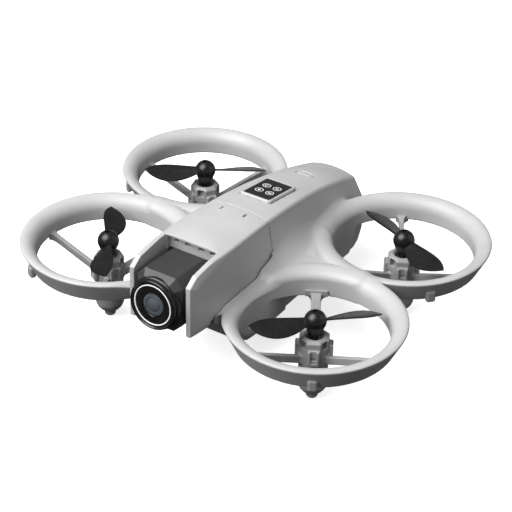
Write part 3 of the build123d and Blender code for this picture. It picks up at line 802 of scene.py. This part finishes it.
def panel_rim(x, y, z):
    """Soft raised frame round the status window, about the window's middle."""
    outer = rounded_box(x, y, 8.6, 12.4, 2.1)
    rim = both(outer, z - 0.45, 0.9)
    rim = np.maximum(rim, -z - 2.5)
    return both(rim, -rounded_box(x, y, 7.25, 11.05, 0.5), 0.15)


def deck_place(at_y, lift=0.0):
    """Matrix from a level plate to its place on the top's slope."""
    tilt = np.degrees(np.arctan(HEIGHT_CURVE.deriv()(at_y)))
    return place_at(0, at_y, HEIGHT_CURVE(at_y) + DECK_CROWN, tilt, "X") @ Matrix.Translation((0, 0, lift))


def flat_ring(x, y, inner, outer, steps=40, first=0.0, last=360.0, z=0.0, high=0.05):
    """Points and faces of a thin arc-shaped plate."""
    turns = np.radians(np.linspace(first, last, steps + 1))
    points = []
    for a in turns:
        for r, h in ((inner, 0), (outer, 0), (outer, high), (inner, high)):
            points.append((x + r * cos(a), y + r * sin(a), z + h))
    faces = [
        (4 * i + k, 4 * i + (k + 1) % 4, 4 * i + 4 + (k + 1) % 4, 4 * i + 4 + k)
        for i in range(steps) for k in range(4)
    ]
    faces += [(3, 2, 1, 0), tuple(4 * steps + k for k in range(4))]
    return points, faces


def plate(x, y, half_x, half_y, z=0.0, high=0.05):
    corners = [(-1, -1), (1, -1), (1, 1), (-1, 1)]
    points = [(x + i * half_x, y + j * half_y, z + h) for h in (0, high) for i, j in corners]
    faces = [(3, 2, 1, 0), (4, 5, 6, 7), (0, 1, 5, 4), (1, 2, 6, 5), (2, 3, 7, 6), (3, 0, 4, 7)]
    return points, faces


def panel_icons():
    """Four plain round icons on the status window."""
    parts = []
    for x in (-2.9, 2.9):
        for y in (-3.4, 3.4):
            parts.append(flat_ring(x, y, 1.75, 2.1))
    parts.append(flat_ring(-2.9, -3.4, 0.0, 0.75))
    parts.append(flat_ring(-2.9, 3.4, 0.65, 1.0, first=30, last=330))
    parts.append(plate(2.9, -3.4, 0.95, 0.45))
    parts.append(plate(2.9, 3.4, 0.2, 0.95))
    parts.append(plate(2.9, 3.4, 0.95, 0.2))
    return joined(parts)


def make_panel():
    rim = zero_surface(panel_rim, (-10, -14, -4), (10, 14, 2), PANEL_CELL)
    add_piece("panel_rim", moved(rim, deck_place(PANEL_Y)), SHELL, "airframe", "shell_plastic", "panel_frame")
    points, faces = panel_icons()
    points = carried(points, deck_place(PANEL_Y, 0.2))
    add_piece("panel_icons", (points, faces), GLOWING_WHITE_PRINT, "airframe", "white_trim")


# ---------------------------------------------------------------- materials

def new_node(tree, kind, **settings):
    """A new node with some of its properties set."""
    node = tree.nodes.new(kind)
    for name, value in settings.items():
        setattr(node, name, value)
    return node


def noise(tree, coords, scale, detail=3.0):
    node = new_node(tree, "ShaderNodeTexNoise")
    node.inputs["Scale"].default_value = scale
    node.inputs["Detail"].default_value = detail
    node.inputs["Roughness"].default_value = 0.55
    tree.links.new(coords, node.inputs["Vector"])
    return node.outputs["Fac"]


def ranged(tree, value, low, high, start=0.3, end=0.7):
    """A noise value mapped from start..end to low..high."""
    node = new_node(tree, "ShaderNodeMapRange")
    for name, number in (("From Min", start), ("From Max", end), ("To Min", low), ("To Max", high)):
        node.inputs[name].default_value = number
    tree.links.new(value, node.inputs["Value"])
    return node.outputs["Result"]


def grained(name, dark, light, roughness, swing=0.06, cloud=45, grain=2600, bump=0.12, **sockets):
    """A moulded surface: cloudy colour between dark and light, uneven gloss and a fine grain."""
    material = bpy.data.materials.new(name)
    material.use_nodes = True
    tree = material.node_tree
    shader = tree.nodes["Principled BSDF"]
    coords = new_node(tree, "ShaderNodeTexCoord").outputs["Object"]
    mix = new_node(tree, "ShaderNodeMix", data_type="RGBA")
    mix.inputs["A"].default_value = (*dark, 1)
    mix.inputs["B"].default_value = (*light, 1)
    tree.links.new(ranged(tree, noise(tree, coords, cloud), 0, 1), mix.inputs["Factor"])
    tree.links.new(mix.outputs["Result"], shader.inputs["Base Color"])
    gloss = ranged(tree, noise(tree, coords, cloud * 4, 4), roughness - swing, roughness + swing)
    tree.links.new(gloss, shader.inputs["Roughness"])
    relief = new_node(tree, "ShaderNodeBump")
    relief.inputs["Strength"].default_value = bump
    relief.inputs["Distance"].default_value = 0.00005
    tree.links.new(noise(tree, coords, grain, 2), relief.inputs["Height"])
    tree.links.new(relief.outputs["Normal"], shader.inputs["Normal"])
    for socket, value in sockets.items():
        shader.inputs[socket.replace("_", " ")].default_value = value
    return material


def grey(value):
    return (value, value, value)


SHELL = grained("shell_satin", grey(0.50), grey(0.56), 0.40, Specular_IOR_Level=0.5)
POD = grained("pod_satin", grey(0.30), grey(0.36), 0.42, cloud=90)
PROP = grained("propeller_nylon", grey(0.005), grey(0.009), 0.30, swing=0.05, cloud=120, bump=0.2)
GREY = grained("camera_shell", grey(0.035), grey(0.048), 0.46, swing=0.04, grain=4000, bump=0.25)
BLACK = grained("gloss_black", grey(0.006), grey(0.010), 0.12, swing=0.04, cloud=160, bump=0.02,
                Coat_Weight=0.6, Coat_Roughness=0.05)
BARREL = grained("barrel_black", grey(0.006), grey(0.011), 0.30, swing=0.05, cloud=140, bump=0.1)
# Printed white with a faint emission that is painted light: it keeps the lens ring and the panel icons bright
# where they sit in shade, though neither is a lamp.
GLOWING_WHITE_PRINT = grained("white_print_painted_glow", grey(0.62), grey(0.72), 0.35, swing=0.05, cloud=300, bump=0.05,
                Emission_Color=(1, 1, 1, 1), Emission_Strength=0.3)
STEEL = grained("brushed_steel", grey(0.45), grey(0.62), 0.28, swing=0.08, cloud=400, Metallic=1.0)
BOARD = grained("board_green", (0.01, 0.06, 0.03), (0.015, 0.09, 0.045), 0.35, cloud=500, grain=1800,
                bump=0.6)
INNER = grained("inner_black", grey(0.02), grey(0.035), 0.6, swing=0.05, cloud=120, bump=0.3)
BATTERY = grained("battery_shell", grey(0.10), grey(0.13), 0.45, swing=0.06, cloud=80, bump=0.3)
GLASS = grained("coated_glass", (0.07, 0.08, 0.09), (0.11, 0.125, 0.14), 0.08, swing=0.02, cloud=200,
                bump=0.0, Coat_Weight=1.0, Coat_Roughness=0.02)

LOOKS = {
    "shell_plastic": SHELL, "pod_plastic": POD, "motor_metal": STEEL, "propeller_black": PROP,
    "steel": STEEL, "panel_gloss": BLACK, "circuit_board": BOARD, "inner_plastic": INNER,
    "battery_grey": BATTERY, "camera_grey": GREY, "lens_black": BARREL, "white_trim": GLOWING_WHITE_PRINT,
    "lens_glass": GLASS,
}


def paint(piece, material):
    piece.data.materials.clear()
    piece.data.materials.append(material)


def paint_nodes():
    slots = {row["node"]: row["material_slot"] for row in frame["record"]["subparts"]}
    for node, piece in frame["nodes"].items():
        paint(piece, LOOKS[slots[node]])


# ---------------------------------------------------------------- camera, floor and light

CAMERA_AZIMUTH = 32.27
CAMERA_ELEVATION = 32.82
CAMERA_ROLL = 1.47
CAMERA_DISTANCE = 829.16
CAMERA_LENS = 121.14
CAMERA_SHIFT = (-0.0009, -0.0151)


def place_camera():
    azimuth = radians(CAMERA_AZIMUTH)
    elevation = radians(CAMERA_ELEVATION)
    roll = radians(CAMERA_ROLL)
    back = Vector((sin(azimuth) * cos(elevation), -cos(azimuth) * cos(elevation), sin(elevation)))
    level = Vector((cos(azimuth), sin(azimuth), 0))
    upright = back.cross(level)
    right = cos(roll) * level + sin(roll) * upright
    up = cos(roll) * upright - sin(roll) * level
    data = bpy.data.cameras.new("camera")
    data.lens = CAMERA_LENS
    data.shift_x, data.shift_y = CAMERA_SHIFT
    data.clip_start = 0.01
    camera = bpy.data.objects.new("camera", data)
    aim = Vector((0, WAIST_Y, RIM_Z)) * MM
    camera.matrix_world = Matrix.Translation(aim + back * CAMERA_DISTANCE * MM) @ Matrix(
        (right, up, back)).transposed().to_4x4()
    bpy.context.scene.collection.objects.link(camera)
    bpy.context.scene.camera = camera


def area_light(name, azimuth, elevation, distance, size, power):
    """A soft square lamp that faces the drone."""
    data = bpy.data.lights.new(name, "AREA")
    data.size = size
    data.energy = power
    lamp = bpy.data.objects.new(name, data)
    a, e = radians(azimuth), radians(elevation)
    place = Vector((sin(a) * cos(e), -cos(a) * cos(e), sin(e))) * distance
    lamp.location = place
    lamp.rotation_euler = place.to_track_quat("Z", "Y").to_euler()
    bpy.context.scene.collection.objects.link(lamp)


def make_floor():
    """A pale table that glows a little, so that the shadow stays faint. It throws no light on the drone."""
    size = 40.0
    corners = [(-size, -size, 0), (size, -size, 0), (size, size, 0), (-size, size, 0)]
    mesh = bpy.data.meshes.new("floor")
    mesh.from_pydata(corners, [], [(0, 1, 2, 3)])
    floor = bpy.data.objects.new("floor", mesh)
    floor.location.z = -0.0002
    bpy.context.scene.collection.objects.link(floor)
    paper = bpy.data.materials.new("floor_paper")
    paper.use_nodes = True
    shader = paper.node_tree.nodes["Principled BSDF"]
    shader.inputs["Base Color"].default_value = (0.85, 0.85, 0.85, 1)
    shader.inputs["Roughness"].default_value = 0.9
    shader.inputs["Specular IOR Level"].default_value = 0.1
    shader.inputs["Emission Color"].default_value = (1, 1, 1, 1)
    shader.inputs["Emission Strength"].default_value = 0.72
    paint(floor, paper)
    floor.visible_diffuse = False
    floor.visible_glossy = False


def make_sky():
    """A dim studio, brighter overhead than below."""
    world = bpy.data.worlds.new("studio")
    world.use_nodes = True
    tree = world.node_tree
    coords = new_node(tree, "ShaderNodeTexCoord")
    split = new_node(tree, "ShaderNodeSeparateXYZ")
    tree.links.new(coords.outputs["Generated"], split.inputs["Vector"])
    ramp = ranged(tree, split.outputs["Z"], 0.05, 0.26, -0.3, 0.9)
    tree.links.new(ramp, tree.nodes["Background"].inputs["Strength"])
    tree.nodes["Background"].inputs["Color"].default_value = (1, 1, 1, 1)
    bpy.context.scene.world = world


paint_nodes()
make_body()
make_pods()
make_propellers()
make_camera()
make_panel()
place_camera()
make_floor()
make_sky()
area_light("key", -30, 54, 1.3, 1.2, 29)
area_light("rim", 120, 28, 1.3, 0.9, 2.0)
bpy.context.scene.view_settings.view_transform = "Standard"
